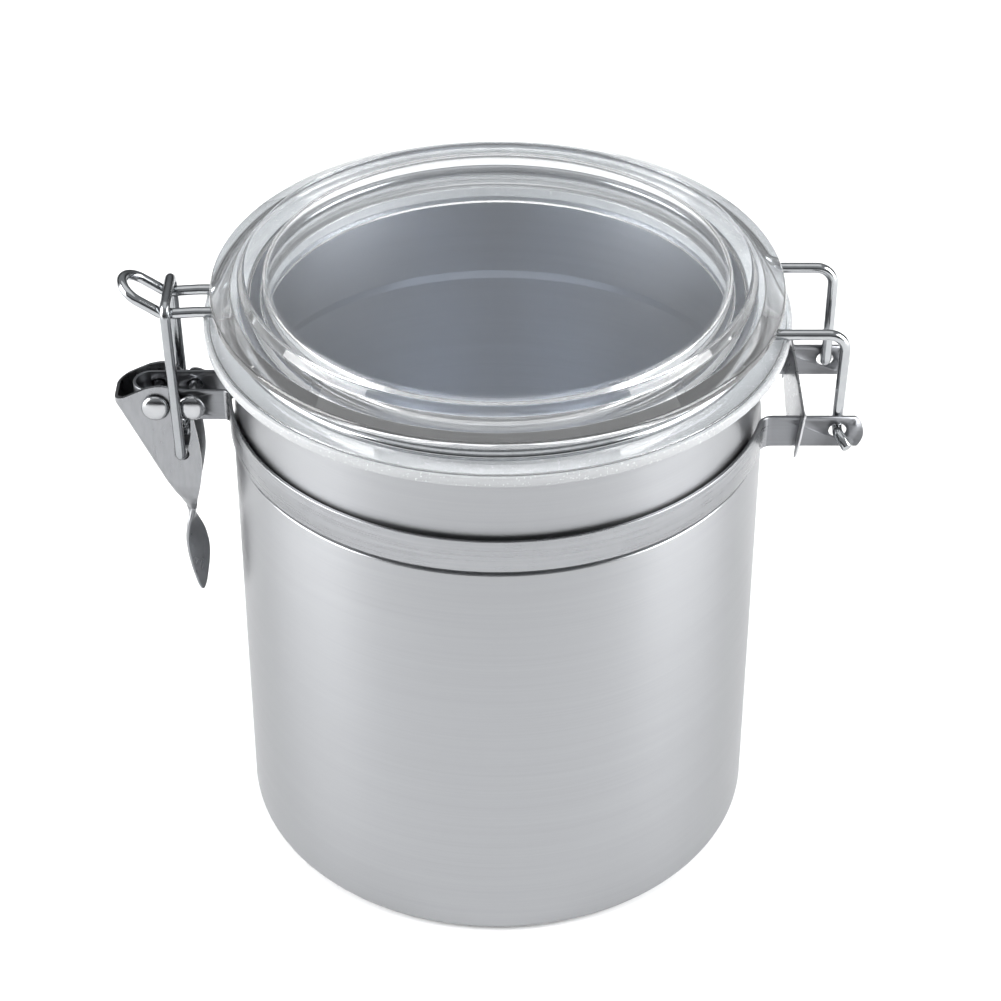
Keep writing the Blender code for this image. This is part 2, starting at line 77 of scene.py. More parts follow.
# Canister body
BODY_R = BODY_HIGH.x
RIM_Z = BODY_HIGH.z
WALL = 0.7
BASE_EDGE_R = 3.0
NECK_R = BODY_R - 0.8
SEAT_R = BODY_R - 0.35
GROOVE_R = BODY_R - 0.9
BAND_MID_Z = (BAND_LOW.z + BAND_HIGH.z) / 2
GROOVE_LOW = BAND_LOW.z - 1.4
SEAT_LOW = BAND_LOW.z - 0.1
SEAT_HIGH = BAND_HIGH.z - 5.6

# Neck band. The shown strip is set a little lower than the CAD's.
STRIP_LOW = BAND_LOW.z - 0.1
STRIP_HIGH = BAND_HIGH.z - 0.4
BAND_T = 0.75
BAND_R = BODY_R + 0.325
HINGE_EAR_Y = 14.4
HINGE_BEND_R = 3.4
HINGE_HOLE_R = 2.0
LATCH_EAR_Y = 3.95
LATCH_BEND_R = 2.0

# Wire
WIRE_R = 1.2
WIRE_SIDES = 24
LEG_Y = HINGE_EAR_Y - BAND_T / 2 - GAP - WIRE_R
LEG_TOP_X, LEG_TOP_Y = 75.9, 13.9
RING_R, RING_Z = 59.2, 135.3
TONGUE_Y = 4.7
TONGUE_BEND_X, TONGUE_Z = -74.0, 134.8
TONGUE_RISE = math.radians(34)
TONGUE_LENGTH = 10.6

# Lid and gasket
LID_TOP_Z = LID_HIGH.z
LID_PLATE_T = 3.2
PLATEAU_R, PLATEAU_FOOT_R = 55.9, 57.0
SHOULDER_R = 63.5
SHOULDER_TOP, SHOULDER_EDGE, SHOULDER_LOW = 141.2, 139.6, 139.2
FLANGE_R = LID_HIGH.x
FLANGE_LOW = 132.5
FLANGE_TOP = RING_Z - WIRE_R - GAP
SKIRT_R = 54.6
SKIRT_T = 3.0
SKIRT_LOW = LID_LOW.z
RIM_INSET = 2.0

# Latch
LEVER_T = 0.75
LEVER_OUTER_Y = LATCH_EAR_Y + BAND_T / 2 + GAP + LEVER_T
RIVET_R = 1.5
RIVET_HOLE_R = RIVET_R + GAP
HEAD_R = (RIVET_HIGH.x - RIVET_LOW.x) / 2
HEAD_H = 1.6
EAR_RIVET_X = (EAR_RIVET_LOW.x + EAR_RIVET_HIGH.x) / 2
LOOP_Y = 7.4
LOOP_HOLE_R = 1.7
LOOP_TOP = Vector((-73.0, 0, 137.6))

TURNED_SEGMENTS = 256
ROUND_SIDES = 48


# ---------------------------------------------------------------- mesh tools

def add_piece(name, bm, mat, smooth_angle=35):
    """Turns bm, in millimetres, into a shown mesh object in metres with its faces pointing out."""
    bmesh.ops.recalc_face_normals(bm, faces=bm.faces)
    bmesh.ops.scale(bm, vec=(MM, MM, MM), verts=bm.verts)
    mesh = bpy.data.meshes.new(name)
    bm.to_mesh(mesh)
    bm.free()
    mesh.shade_smooth()
    mesh.set_sharp_from_angle(angle=math.radians(smooth_angle))
    if mat:
        mesh.materials.append(mat)
    obj = bpy.data.objects.new(name, mesh)
    bpy.context.scene.collection.objects.link(obj)
    return obj


def cut(obj, bm, operation="DIFFERENCE", mat=None):
    """Applies a Boolean of the closed shape bm to obj. The new faces take mat, if it is given."""
    other = add_piece("cutter", bm, mat)
    mod = obj.modifiers.new("cut", "BOOLEAN")
    mod.object = other
    mod.operation = operation
    mod.solver = "EXACT"
    apply_modifiers(obj)
    bpy.data.objects.remove(other, do_unlink=True)


def apply_modifiers(obj):
    graph = bpy.context.evaluated_depsgraph_get()
    mesh = bpy.data.meshes.new_from_object(obj.evaluated_get(graph))
    obj.modifiers.clear()
    obj.data = mesh


def soften_edges(obj, width):
    """Rounds the piece's sharp edges by a small bevel, so that they catch the light."""
    mod = obj.modifiers.new("edges", "BEVEL")
    mod.width = width * MM
    mod.segments = 2
    mod.limit_method = "ANGLE"
    mod.angle_limit = math.radians(40)
    mod.use_clamp_overlap = True
    apply_modifiers(obj)
    obj.data.shade_smooth()
    obj.data.set_sharp_from_angle(angle=math.radians(50))


def arc(center, radius, start, end, steps):
    """Points on an arc in a plane, from one angle to another in degrees."""
    points = []
    for i in range(steps + 1):
        a = math.radians(start + (end - start) * i / steps)
        points.append((center[0] + radius * math.cos(a), center[1] + radius * math.sin(a)))
    return points


def filleted(corners, steps=6):
    """A profile through corners of (r, z, fillet radius), with an arc at each rounded corner."""
    points = []
    count = len(corners)
    for i, (r, z, radius) in enumerate(corners):
        if radius == 0 or i in (0, count - 1):
            points.append((r, z))
            continue
        here = Vector((r, z))
        u = (Vector(corners[i - 1][:2]) - here).normalized()
        v = (Vector(corners[i + 1][:2]) - here).normalized()
        half = u.angle(v) / 2
        reach = radius / math.tan(half)
        center = here + (u + v).normalized() * (radius / math.sin(half))
        first = here + u * reach - center
        last = here + v * reach - center
        sweep = first.angle(last)
        for k in range(steps + 1):
            t = k / steps
            spoke = first * math.sin((1 - t) * sweep) + last * math.sin(t * sweep)
            point = center + spoke / math.sin(sweep)
            points.append((point.x, point.y))
    return points


def lathe(profile, closed):
    """Turns a profile of (radius, z) about Z. A closed profile makes a ring."""
    bm = bmesh.new()
    rings = []
    for r, z in profile:
        if r == 0:
            rings.append([bm.verts.new((0, 0, z))])
            continue
        ring = []
        for i in range(TURNED_SEGMENTS):
            a = 2 * math.pi * i / TURNED_SEGMENTS
            ring.append(bm.verts.new((r * math.cos(a), r * math.sin(a), z)))
        rings.append(ring)
    pairs = list(zip(rings, rings[1:]))
    if closed:
        pairs.append((rings[-1], rings[0]))
    for low, high in pairs:
        for i in range(TURNED_SEGMENTS):
            j = (i + 1) % TURNED_SEGMENTS
            if len(low) == 1:
                bm.faces.new((low[0], high[i], high[j]))
            elif len(high) == 1:
                bm.faces.new((low[i], low[j], high[0]))
            else:
                bm.faces.new((low[i], low[j], high[j], high[i]))
    return bm


def rod_along_y(x, z, radius, half_length):
    bm = bmesh.new()
    turn = Matrix.Rotation(math.radians(90), 4, "X")
    bmesh.ops.create_cone(
        bm, cap_ends=True, segments=ROUND_SIDES, radius1=radius, radius2=radius,
        depth=2 * half_length, matrix=Matrix.Translation((x, 0, z)) @ turn,
    )
    return bm


def prism_along_y(outline, half_depth):
    """Extrudes an outline of (x, z) along Y, the same distance both ways."""
    bm = bmesh.new()
    front = [bm.verts.new((x, -half_depth, z)) for x, z in outline]
    back = [bm.verts.new((x, half_depth, z)) for x, z in outline]
    bm.faces.new(front)
    bm.faces.new(list(reversed(back)))
    for i in range(len(outline)):
        j = (i + 1) % len(outline)
        bm.faces.new((front[i], back[i], back[j], front[j]))
    return bm


def rounded_path(points, radii, steps=12):
    """A 3-D path with an arc of the given radius at each inner point."""
    points = [Vector(p) for p in points]
    path = [points[0]]
    for before, corner, after, radius in zip(points, points[1:], points[2:], radii):
        u = (before - corner).normalized()
        v = (after - corner).normalized()
        half = u.angle(v) / 2
        reach = radius / math.tan(half)
        center = corner + (u + v).normalized() * (radius / math.sin(half))
        start = corner + u * reach - center
        end = corner + v * reach - center
        sweep = start.angle(end)
        for i in range(steps + 1):
            t = i / steps
            spoke = start * math.sin((1 - t) * sweep) + end * math.sin(t * sweep)
            path.append(center + spoke / math.sin(sweep))
    path.append(points[-1])
    return path


def wire(path, radius):
    """A round wire along a path, with slightly chamfered cut ends."""
    path = [Vector(p) for p in path]
    chamfer = 0.18
    tangents = []
    for i in range(len(path)):
        tangents.append((path[min(i + 1, len(path) - 1)] - path[max(i - 1, 0)]).normalized())
    sections = [(path[0], tangents[0], radius - chamfer)]
    sections.append((path[0] + tangents[0] * chamfer, tangents[0], radius))
    sections += [(p, t, radius) for p, t in zip(path[1:-1], tangents[1:-1])]
    sections.append((path[-1] - tangents[-1] * chamfer, tangents[-1], radius))
    sections.append((path[-1], tangents[-1], radius - chamfer))
    bm = bmesh.new()
    normal = tangents[0].orthogonal().normalized()
    rings = []
    for point, tangent, r in sections:
        normal = (normal - tangent * normal.dot(tangent)).normalized()
        other = tangent.cross(normal)
        ring = []
        for k in range(WIRE_SIDES):
            a = 2 * math.pi * k / WIRE_SIDES
            ring.append(bm.verts.new(point + r * (math.cos(a) * normal + math.sin(a) * other)))
        rings.append(ring)
    for a, b in zip(rings, rings[1:]):
        for k in range(WIRE_SIDES):
            m = (k + 1) % WIRE_SIDES
            bm.faces.new((a[k], a[m], b[m], b[k]))
    bm.faces.new(rings[0])
    bm.faces.new(list(reversed(rings[-1])))
    return bm


# ---------------------------------------------------------------- materials

class Tree:
    """Short calls for a material's node tree."""

    def __init__(self, name):
        self.mat = bpy.data.materials.new(name)
        self.mat.use_nodes = True
        self.nodes = self.mat.node_tree.nodes
        self.shader = self.nodes["Principled BSDF"]

    def add(self, kind, **settings):
        node = self.nodes.new(kind)
        for key, value in settings.items():
            setattr(node, key, value)
        return node

    def link(self, source, target):
        self.mat.node_tree.links.new(source, target)

    def math(self, operation, a, b):
        node = self.add("ShaderNodeMath", operation=operation)
        for socket, value in zip(node.inputs, (a, b)):
            if isinstance(value, (int, float)):
                socket.default_value = value
            else:
                self.link(value, socket)
        return node.outputs[0]

    def noise(self, vector, scale, detail=3.0, distortion=0.0):
        node = self.add("ShaderNodeTexNoise")
        node.inputs["Scale"].default_value = scale
        node.inputs["Detail"].default_value = detail
        node.inputs["Distortion"].default_value = distortion
        self.link(vector, node.inputs["Vector"])
        return node.outputs["Fac"]

    def remap(self, value, low, high):
        """Spreads a noise value, which stays near 0.5, over low to high."""
        node = self.add("ShaderNodeMapRange")
        node.inputs["From Min"].default_value = 0.3
        node.inputs["From Max"].default_value = 0.7
        node.inputs["To Min"].default_value = low
        node.inputs["To Max"].default_value = high
        self.link(value, node.inputs["Value"])
        return node.outputs["Result"]

    def object_point(self):
        return self.add("ShaderNodeTexCoord").outputs["Object"]

    def stretched(self, scale):
        """Object coordinates with a scale for each axis, in cycles per metre."""
        node = self.add("ShaderNodeMapping")
        node.inputs["Scale"].default_value = scale
        self.link(self.object_point(), node.inputs["Vector"])
        return node.outputs["Vector"]

    def turned(self, around, across):
        """Coordinates for brushing round Z: slow round the axis, fast along the profile."""
        split = self.add("ShaderNodeSeparateXYZ")
        self.link(self.object_point(), split.inputs[0])
        x, y, z = split.outputs
        square = self.math("ADD", self.math("MULTIPLY", x, x), self.math("MULTIPLY", y, y))
        along = self.math("ADD", self.math("SQRT", square, 0), z)
        join = self.add("ShaderNodeCombineXYZ")
        self.link(self.math("MULTIPLY", x, around), join.inputs[0])
        self.link(self.math("MULTIPLY", y, around), join.inputs[1])
        self.link(self.math("MULTIPLY", along, across), join.inputs[2])
        return join.outputs[0]

    def tint(self, value, color, low, high):
        """The base colour, made lighter and darker by a noise value."""
        scale = self.remap(value, low, high)
        node = self.add("ShaderNodeVectorMath", operation="SCALE")
        node.inputs[0].default_value = color
        self.link(scale, node.inputs["Scale"])
        self.link(node.outputs[0], self.shader.inputs["Base Color"])

    def rough(self, value, low, high):
        self.link(self.remap(value, low, high), self.shader.inputs["Roughness"])

    def bump(self, height, depth):
        """A bump whose height is depth millimetres from low to high."""
        node = self.add("ShaderNodeBump")
        node.inputs["Distance"].default_value = depth * MM
        node.inputs["Strength"].default_value = 1.0
        self.link(height, node.inputs["Height"])
        self.link(node.outputs[0], self.shader.inputs["Normal"])


def brushed_round(name, color, roughness, anisotropy, grain):
    """Steel brushed round the canister's axis, with a grain of the given depth."""
    tree = Tree(name)
    shader = tree.shader
    shader.inputs["Metallic"].default_value = 1.0
    shader.inputs["Anisotropic"].default_value = anisotropy
    shader.inputs["Anisotropic Rotation"].default_value = 0.25
    tangent = tree.add("ShaderNodeTangent", direction_type="RADIAL", axis="Z")
    tree.link(tangent.outputs[0], shader.inputs["Tangent"])
    lines = tree.noise(tree.turned(24, 2600), 1.0, 4.0)
    wide = tree.noise(tree.turned(14, 420), 1.0, 2.0)
    mixed = tree.math("ADD", tree.math("MULTIPLY", lines, 0.6), tree.math("MULTIPLY", wide, 0.4))
    tree.tint(mixed, color, 0.965, 1.035)
    tree.rough(lines, roughness - 0.02, roughness + 0.02)
    tree.bump(lines, grain)
    return tree.mat


def brushed_flat(name, color, roughness, scale):
    """Sheet steel with a grain along one axis."""
    tree = Tree(name)
    shader = tree.shader
    shader.inputs["Metallic"].default_value = 1.0
    lines = tree.noise(tree.stretched(scale), 1.0, 4.0)
    cloud = tree.noise(tree.object_point(), 160.0, 3.0)
    mixed = tree.math("ADD", tree.math("MULTIPLY", lines, 0.7), tree.math("MULTIPLY", cloud, 0.3))
    tree.tint(mixed, color, 0.88, 1.08)
    tree.rough(mixed, roughness - 0.06, roughness + 0.08)
    tree.bump(mixed, 0.012)
    return tree.mat


def polished(name, color, roughness):
    """Drawn and polished wire or rivet metal, with faint smudges."""
    tree = Tree(name)
    shader = tree.shader
    shader.inputs["Metallic"].default_value = 1.0
    cloud = tree.noise(tree.object_point(), 420.0, 4.0)
    fine = tree.noise(tree.object_point(), 2600.0, 2.0)
    tree.tint(cloud, color, 0.93, 1.04)
    tree.rough(cloud, roughness - 0.03, roughness + 0.06)
    tree.bump(fine, 0.004)
    return tree.mat


def acrylic(name, clearness, waves):
    """Clear moulded acrylic: flow waves of the given depth, and a little wear in its gloss.

    Shadow rays pass through it, so that light reaches what is under the lid.
    """
    tree = Tree(name)
    shader = tree.shader
    shader.inputs["Transmission Weight"].default_value = clearness
    shader.inputs["IOR"].default_value = 1.49
    flow = tree.noise(tree.object_point(), 70.0, 2.0, 0.6)
    fine = tree.noise(tree.object_point(), 900.0, 3.0)
    tree.tint(fine, (0.97, 0.975, 0.98), 0.985, 1.01)
    tree.rough(fine, 0.0, 0.03)
    tree.bump(flow, waves)
    clear = tree.add("ShaderNodeBsdfTransparent")
    clear.inputs["Color"].default_value = (0.93, 0.94, 0.945, 1.0)
    pick = tree.add("ShaderNodeMixShader")
    tree.link(tree.add("ShaderNodeLightPath").outputs["Is Shadow Ray"], pick.inputs["Fac"])
    tree.link(shader.outputs[0], pick.inputs[1])
    tree.link(clear.outputs[0], pick.inputs[2])
    tree.link(pick.outputs[0], tree.nodes["Material Output"].inputs["Surface"])
    return tree.mat


def silicone():
    """Translucent white silicone with a soft, slightly dusty surface."""
    tree = Tree("white_silicone")
    shader = tree.shader
    shader.inputs["Transmission Weight"].default_value = 0.40
    shader.inputs["IOR"].default_value = 1.41
    cloud = tree.noise(tree.object_point(), 240.0, 3.0)
    fine = tree.noise(tree.object_point(), 2200.0, 2.0)
    tree.tint(cloud, (0.52, 0.53, 0.54), 0.97, 1.02)
    tree.rough(fine, 0.20, 0.28)
    tree.bump(cloud, 0.012)
    return tree.mat


# ---------------------------------------------------------------- turned pieces

def body_piece(mat, inside_painted_shading_mat):
    """The drawn body with its rolled rim. Its inner wall and floor take a lighter copy of the body
    steel, which is painted light.
    """
    corners = [(0, 0, 0), (BODY_R, 0, BASE_EDGE_R), (BODY_R, GROOVE_LOW - 0.15, 0.4)]
    corners += [(GROOVE_R, GROOVE_LOW, 0.15), (GROOVE_R, SEAT_LOW - 0.1, 0.15)]
    corners += [(SEAT_R, SEAT_LOW, 0.1), (SEAT_R, SEAT_HIGH, 0.8)]
    corners += [(NECK_R, SEAT_HIGH + 2.3, 0.8), (NECK_R, RIM_Z - 1.7, 0.5)]
    rim_center = (NECK_R, RIM_Z - 0.7)
    outside = filleted(corners + [(NECK_R + 0.35, RIM_Z - 1.3, 0)])
    rim = arc(rim_center, 0.7, -45, 200, 12)
    inner, groove = BODY_R - WALL, GROOVE_R - WALL
    corners = [(NECK_R - WALL, RIM_Z - 1.2, 0), (groove, GROOVE_LOW + 0.6, 2.0)]
    corners += [(inner, GROOVE_LOW - 2.2, 2.0), (inner, WALL, BASE_EDGE_R - WALL), (0, WALL, 0)]
    body = add_piece("body_shell", lathe(outside + rim + filleted(corners), closed=False), mat)
    body.data.materials.append(inside_painted_shading_mat)
    # Inner wall and floor faces take the lighter steel: painted light that stands in for the light
    # coming in through the lid.
    for face in body.data.polygons:
        outward = face.normal.x * face.center.x + face.normal.y * face.center.y
        on_floor = face.normal.z > 0.5 and face.center.z < 5 * MM
        if on_floor or outward < -0.2 * face.center.xy.length:
            face.material_index = 1
    return body


def lid_piece(mat, rim_mat):
    """The clear lid: a plate, and a moulded rim outside it that takes its own material."""
    groove_r = RING_R - WIRE_R - GAP
    inside_r = SKIRT_R - SKIRT_T
    under = LID_TOP_Z - LID_PLATE_T
    corners = [(0, LID_TOP_Z, 0), (PLATEAU_R, LID_TOP_Z, 0.9)]
    corners += [(PLATEAU_FOOT_R, LID_TOP_Z - 1.9, 0.9)]
    corners += [(SHOULDER_R - 0.3, SHOULDER_TOP, 0.8), (SHOULDER_R, SHOULDER_EDGE, 0.4)]
    corners += [(groove_r, SHOULDER_LOW, 0.6), (groove_r, FLANGE_TOP, 0.6)]
    corners += [(FLANGE_R, FLANGE_TOP, 0.35), (FLANGE_R, FLANGE_LOW, 0.3)]
    corners += [(SKIRT_R, FLANGE_LOW, 0.3)]
    corners += [(SKIRT_R, SKIRT_LOW, 0.8), (inside_r, SKIRT_LOW, 0.8), (inside_r, under, 1.4)]
    corners += [(0, under, 0)]
    lid = add_piece("clear_lid", lathe(filleted(corners), closed=False), mat)
    lid.data.materials.append(rim_mat)
    for face in lid.data.polygons:
        if face.center.xy.length > (inside_r - RIM_INSET) * MM:
            face.material_index = 1
    return lid


def gasket_piece(mat):
    low, high = RIM_Z + GAP, FLANGE_LOW - GAP
    inner, outer = SKIRT_R + GAP, GASKET_HIGH.x
    lip_in, lip_top = FLANGE_R + GAP, GASKET_HIGH.z
    collar = inner + 1.1
    corners = [(lip_in - 3, high, 0), (lip_in, high, 0.2), (lip_in, lip_top, 0.35)]
    corners += [(outer, lip_top, 0.35), (outer, low, 0.45), (collar, low, 0.3)]
    corners += [(collar, GASKET_LOW.z, 0.3), (inner, GASKET_LOW.z, 0.25), (inner, high, 0)]
    return add_piece("gasket_ring", lathe(filleted(corners), closed=True), mat)


# ---------------------------------------------------------------- neck band and keeper

def ear_fillet(ring_r, ear_y, bend_r, side, steps):
    """The bend from an ear along X into the strip's circle, on the -Y half.

    Returns the arc's points, from the ear to the circle, and the angle of the last one.
    """
    center_y = -(ear_y + bend_r)
    center_x = side * math.sqrt((ring_r + bend_r) ** 2 - center_y ** 2)
    end = math.degrees(math.atan2(-center_y, -center_x))
    points = arc((center_x, center_y), bend_r, 90, end, steps)
    return points, math.degrees(math.atan2(points[-1][1], points[-1][0]))


def band_path():
    """The strip's middle line in plan: hinge ear, front half, latch ear, and their mirror."""
    hinge, hinge_angle = ear_fillet(BAND_R, HINGE_EAR_Y, HINGE_BEND_R, 1, 14)
    latch, latch_angle = ear_fillet(BAND_R, LATCH_EAR_Y, LATCH_BEND_R, -1, 12)
    half = [(BAND_HIGH.x, -HINGE_EAR_Y)] + hinge
    half += arc((0, 0), BAND_R, hinge_angle, latch_angle, 110)[1:-1]
    half += list(reversed(latch))
    turn_x = BAND_LOW.x + LATCH_EAR_Y + BAND_T / 2
    turn = arc((turn_x, 0), LATCH_EAR_Y, -90, -270, 28)
    mirrored = [(x, -y) for x, y in reversed(half)]
    return half + turn + mirrored


def strip(path, thickness, low, high, edge_r):
    """A strip on edge with rounded long edges: its path in plan, thickness and height."""
    half_t = thickness / 2
    section = []
    for side, top, start in ((1, high, 0), (-1, high, 90), (-1, low, 180), (1, low, 270)):
        level = top - edge_r if top == high else top + edge_r
        section += arc((side * (half_t - edge_r), level), edge_r, start, start + 90, 3)
    bm = bmesh.new()
    columns = []
    for i, point in enumerate(path):
        before = Vector(path[max(i - 1, 0)])
        after = Vector(path[min(i + 1, len(path) - 1)])
        along = (after - before).normalized()
        side = Vector((-along.y, along.x))
        here = Vector(point)
        column = []
        for offset, z in section:
            p = here + side * offset
            column.append(bm.verts.new((p.x, p.y, z)))
        columns.append(column)
    count = len(section)
    for a, b in zip(columns, columns[1:]):
        for k in range(count):
            m = (k + 1) % count
            bm.faces.new((a[k], a[m], b[m], b[k]))
    bm.faces.new(columns[0])
    bm.faces.new(list(reversed(columns[-1])))
    return bm


def band_piece(mat, ear_painted_shade_mat):
    """The strip with its hinge ears and latch ears. The ears take a darker copy of the strip's steel,
    which is painted shade.
    """
    low, high = STRIP_LOW, STRIP_HIGH
    band = add_piece("neck_strip", strip(band_path(), BAND_T, low, high, 0.2), mat)
    end_r = 5.5
    end = arc((BAND_HIGH.x - end_r, BAND_MID_Z - 0.6), end_r, -62, 62, 24)
    outline = end + [(end[-1][0], high + 5), (BAND_HIGH.x + 5, high + 5)]
    outline += [(BAND_HIGH.x + 5, low - 5), (end[0][0], low - 5)]
    cut(band, prism_along_y(outline, 20))
    cut(band, rod_along_y(HINGE.x, HINGE.z, HINGE_HOLE_R, 20))
    for x in (PIVOT.x, EAR_RIVET_X):
        cut(band, rod_along_y(x, BAND_MID_Z, RIVET_HOLE_R, 8))
    band.data.materials.append(ear_painted_shade_mat)
    # Faces out past the ring are the ears, which take the darker steel: painted shade.
    for face in band.data.polygons:
        if face.center.xy.length > (BAND_R + 1.5) * MM:
            face.material_index = 1
    return band


def keeper_piece(mat):
    """A plate across the hinge ears: a web between them, and a pointed tab outside each."""
    thickness, lean, flare = 0.5, 0.12, 0.1
    x_mid, top = 67.6, 116.1
    slot_in = HINGE_EAR_Y - BAND_T / 2 - GAP
    slot_out = HINGE_EAR_Y + BAND_T / 2 + GAP
    ear_top = BAND_HIGH.z + GAP
    web = [(0, 103.8), (slot_in * 0.3, 103.9), (slot_in * 0.55, 104.4), (slot_in * 0.8, 105.3)]
    web += [(slot_in, 106.6)]
    tab = [(slot_out, 106.6), (slot_out + 0.45, 105.1), (slot_out + 0.9, 104.0)]
    tab += [(slot_out + 1.5, 105.4), (slot_out + 2.2, 108.0)]
    bm = bmesh.new()

    def corner(y, z):
        splay = flare * max(0.0, abs(y) - slot_out)
        return bm.verts.new((x_mid + lean * (z - top) + splay, y, z))

    for side in (-1, 1):
        rows = [[corner(side * y, z) for z in (low, ear_top, top)] for y, low in web + tab]
        for i, (a, b) in enumerate(zip(rows, rows[1:])):
            bm.faces.new((a[1], b[1], b[2], a[2]))
            if i != len(web) - 1:
                bm.faces.new((a[0], b[0], b[1], a[1]))
    bmesh.ops.remove_doubles(bm, verts=bm.verts, dist=0.001)
    keeper = add_piece("keeper_plate", bm, mat)
    solid = keeper.modifiers.new("thickness", "SOLIDIFY")
    solid.thickness = thickness * MM
    solid.offset = 0
    apply_modifiers(keeper)
    soften_edges(keeper, 0.08)
    return keeper


# ---------------------------------------------------------------- wires

def hinge_leg():
    """From the splayed end outside the front ear, up the leg and in to the lid, on the -Y side."""
    end = (HINGE.x + 1.9, -(HINGE_EAR_Y + 4.6), HINGE.z - 1.8)
    corners = [end, (HINGE.x, -(HINGE_EAR_Y + 1.4), HINGE.z), (HINGE.x, -LEG_Y, HINGE.z)]
    corners += [(LEG_TOP_X, -LEG_TOP_Y, RING_Z), (RING_R + 6, -LEG_TOP_Y, RING_Z)]
    return rounded_path(corners, (1.6, 1.6, 4.0))


def ring_part():
    """The ring in the lid's groove on the -Y half, from the hinge leg to the tongue."""
    first, first_angle = ear_fillet(RING_R, LEG_TOP_Y, 2.4, 1, 10)
    last, last_angle = ear_fillet(RING_R, TONGUE_Y, 2.4, -1, 10)
    plan = first + arc((0, 0), RING_R, first_angle, last_angle, 96)[1:-1]
    plan += list(reversed(last))
    return [Vector((x, y, RING_Z)) for x, y in plan]


def tongue_half():
    """From the lid out along the front wire and round the raised tip to its middle."""
    rise = Vector((-math.cos(TONGUE_RISE), 0, math.sin(TONGUE_RISE)))
    bend = Vector((TONGUE_BEND_X, -TONGUE_Y, TONGUE_Z))
    straight_end = bend + rise * (TONGUE_LENGTH - TONGUE_Y)
    corners = [(-63.5, -TONGUE_Y, RING_Z), (-66.5, -TONGUE_Y, RING_Z), bend, straight_end]
    path = rounded_path(corners, (5.0, 3.0))
    center = straight_end + Vector((0, TONGUE_Y, 0))
    across = Vector((0, -TONGUE_Y, 0))
    steps = 16
    for i in range(1, steps + 1):
        a = math.radians(90 * i / steps)
        path.append(center + across * math.cos(a) + rise * (TONGUE_Y * math.sin(a)))
    return path


def bail_piece(mat):
    """The wire round the lid: one half, and its mirror across the XZ plane."""
    half = hinge_leg() + ring_part() + tongue_half()
    mirrored = [Vector((p.x, -p.y, p.z)) for p in reversed(half[:-1])]
    return add_piece("bail_wire", wire(half + mirrored, WIRE_R), mat, 60)


def loop_piece(mat):
    """The latch's wire loop: a crossbar over the tongue, two legs, and ends in the lever."""
    inner_y = LATCH_EAR_Y - BAND_T
    corners = [(LOOP_PIN.x, -inner_y, LOOP_PIN.z + 0.2), (LOOP_PIN.x, -LOOP_Y, LOOP_PIN.z + 0.2)]
    corners += [(LOOP_TOP.x, -LOOP_Y, LOOP_TOP.z)]
    corners += [(x, -y, z) for x, y, z in reversed(corners)]
    path = rounded_path(corners, (1.6, 2.4, 2.4, 1.6))
    return add_piece("loop_wire_piece", wire(path, WIRE_R), mat, 60)


# ---------------------------------------------------------------- latch

def rivet_piece(name, x, mat):
    """A rivet along Y: a shank with a domed head at both ends."""
    sides = ROUND_SIDES
    head_y = LEVER_OUTER_Y + GAP
    profile = [(0, -head_y - HEAD_H)]
    for i in range(1, 12):
        a = math.radians(90 * i / 12)
        profile.append((HEAD_R * math.sin(a), -head_y - 0.15 - (HEAD_H - 0.15) * math.cos(a)))
    profile += [(HEAD_R, -head_y - 0.12), (HEAD_R - 0.1, -head_y), (RIVET_R, -head_y)]
    profile += [(r, -y) for r, y in reversed(profile)]
    bm = bmesh.new()
    rings = []
    for r, y in profile:
        angles = [2 * math.pi * i / sides for i in range(sides if r else 1)]
        ring = [bm.verts.new((x + r * math.cos(a), y, BAND_MID_Z + r * math.sin(a))) for a in angles]
        rings.append(ring)
    for a, b in zip(rings, rings[1:]):
        for i in range(sides):
            j = (i + 1) % sides
            if len(a) == 1:
                bm.faces.new((a[0], b[i], b[j]))
            elif len(b) == 1:
                bm.faces.new((a[i], a[j], b[0]))
            else:
                bm.faces.new((a[i], a[j], b[j], b[i]))
    return add_piece(name, bm, mat)


# Side outline of the lever, from the pivot: x towards the canister, z up.
SPINE_TOP_X = -9.5
SPINE_SLOPE = 0.46
SPINE_CORNER_R = 3.2
LEVER_TAPER = ((3.0, 1.0), (-22.0, 1.0), (-26.0, 0.85), (-29.0, 0.55), (-31.8, 0.2))


def spine_x(z):
    """The outer face of the lever's spine: upright at the top, then slanting in."""
    return SPINE_TOP_X - SPINE_SLOPE * min(z, 0.0)


def lever_half_width(z):
    """Half of the lever's width across Y, which narrows down to the neck."""
    for (z_high, a), (z_low, b) in zip(LEVER_TAPER, LEVER_TAPER[1:]):
        if z >= z_low:
            t = min(max((z_high - z) / (z_high - z_low), 0.0), 1.0)
            return LEVER_OUTER_Y * (a + (b - a) * t)
    return LEVER_OUTER_Y * LEVER_TAPER[-1][1]


def channel(levels, inset, right):
    """A block with a rounded spine at -X, inset from the lever's outer surface."""
    bm = bmesh.new()
    rings = []
    for z in levels:
        half = lever_half_width(z) - inset
        left = spine_x(z) + inset
        corner_r = min(max(SPINE_CORNER_R - inset, 0.5), half * 0.8)
        plan = [(right, half)]
        plan += arc((left + corner_r, half - corner_r), corner_r, 90, 180, 12)
        plan += arc((left + corner_r, -half + corner_r), corner_r, 180, 270, 12)
        plan += [(right, -half)]
        rings.append([bm.verts.new((PIVOT.x + x, y, PIVOT.z + z)) for x, y in plan])
    count = len(rings[0])
    for a, b in zip(rings, rings[1:]):
        for k in range(count):
            m = (k + 1) % count
            bm.faces.new((a[k], a[m], b[m], b[k]))
    bm.faces.new(rings[0])
    bm.faces.new(list(reversed(rings[-1])))
    return bm


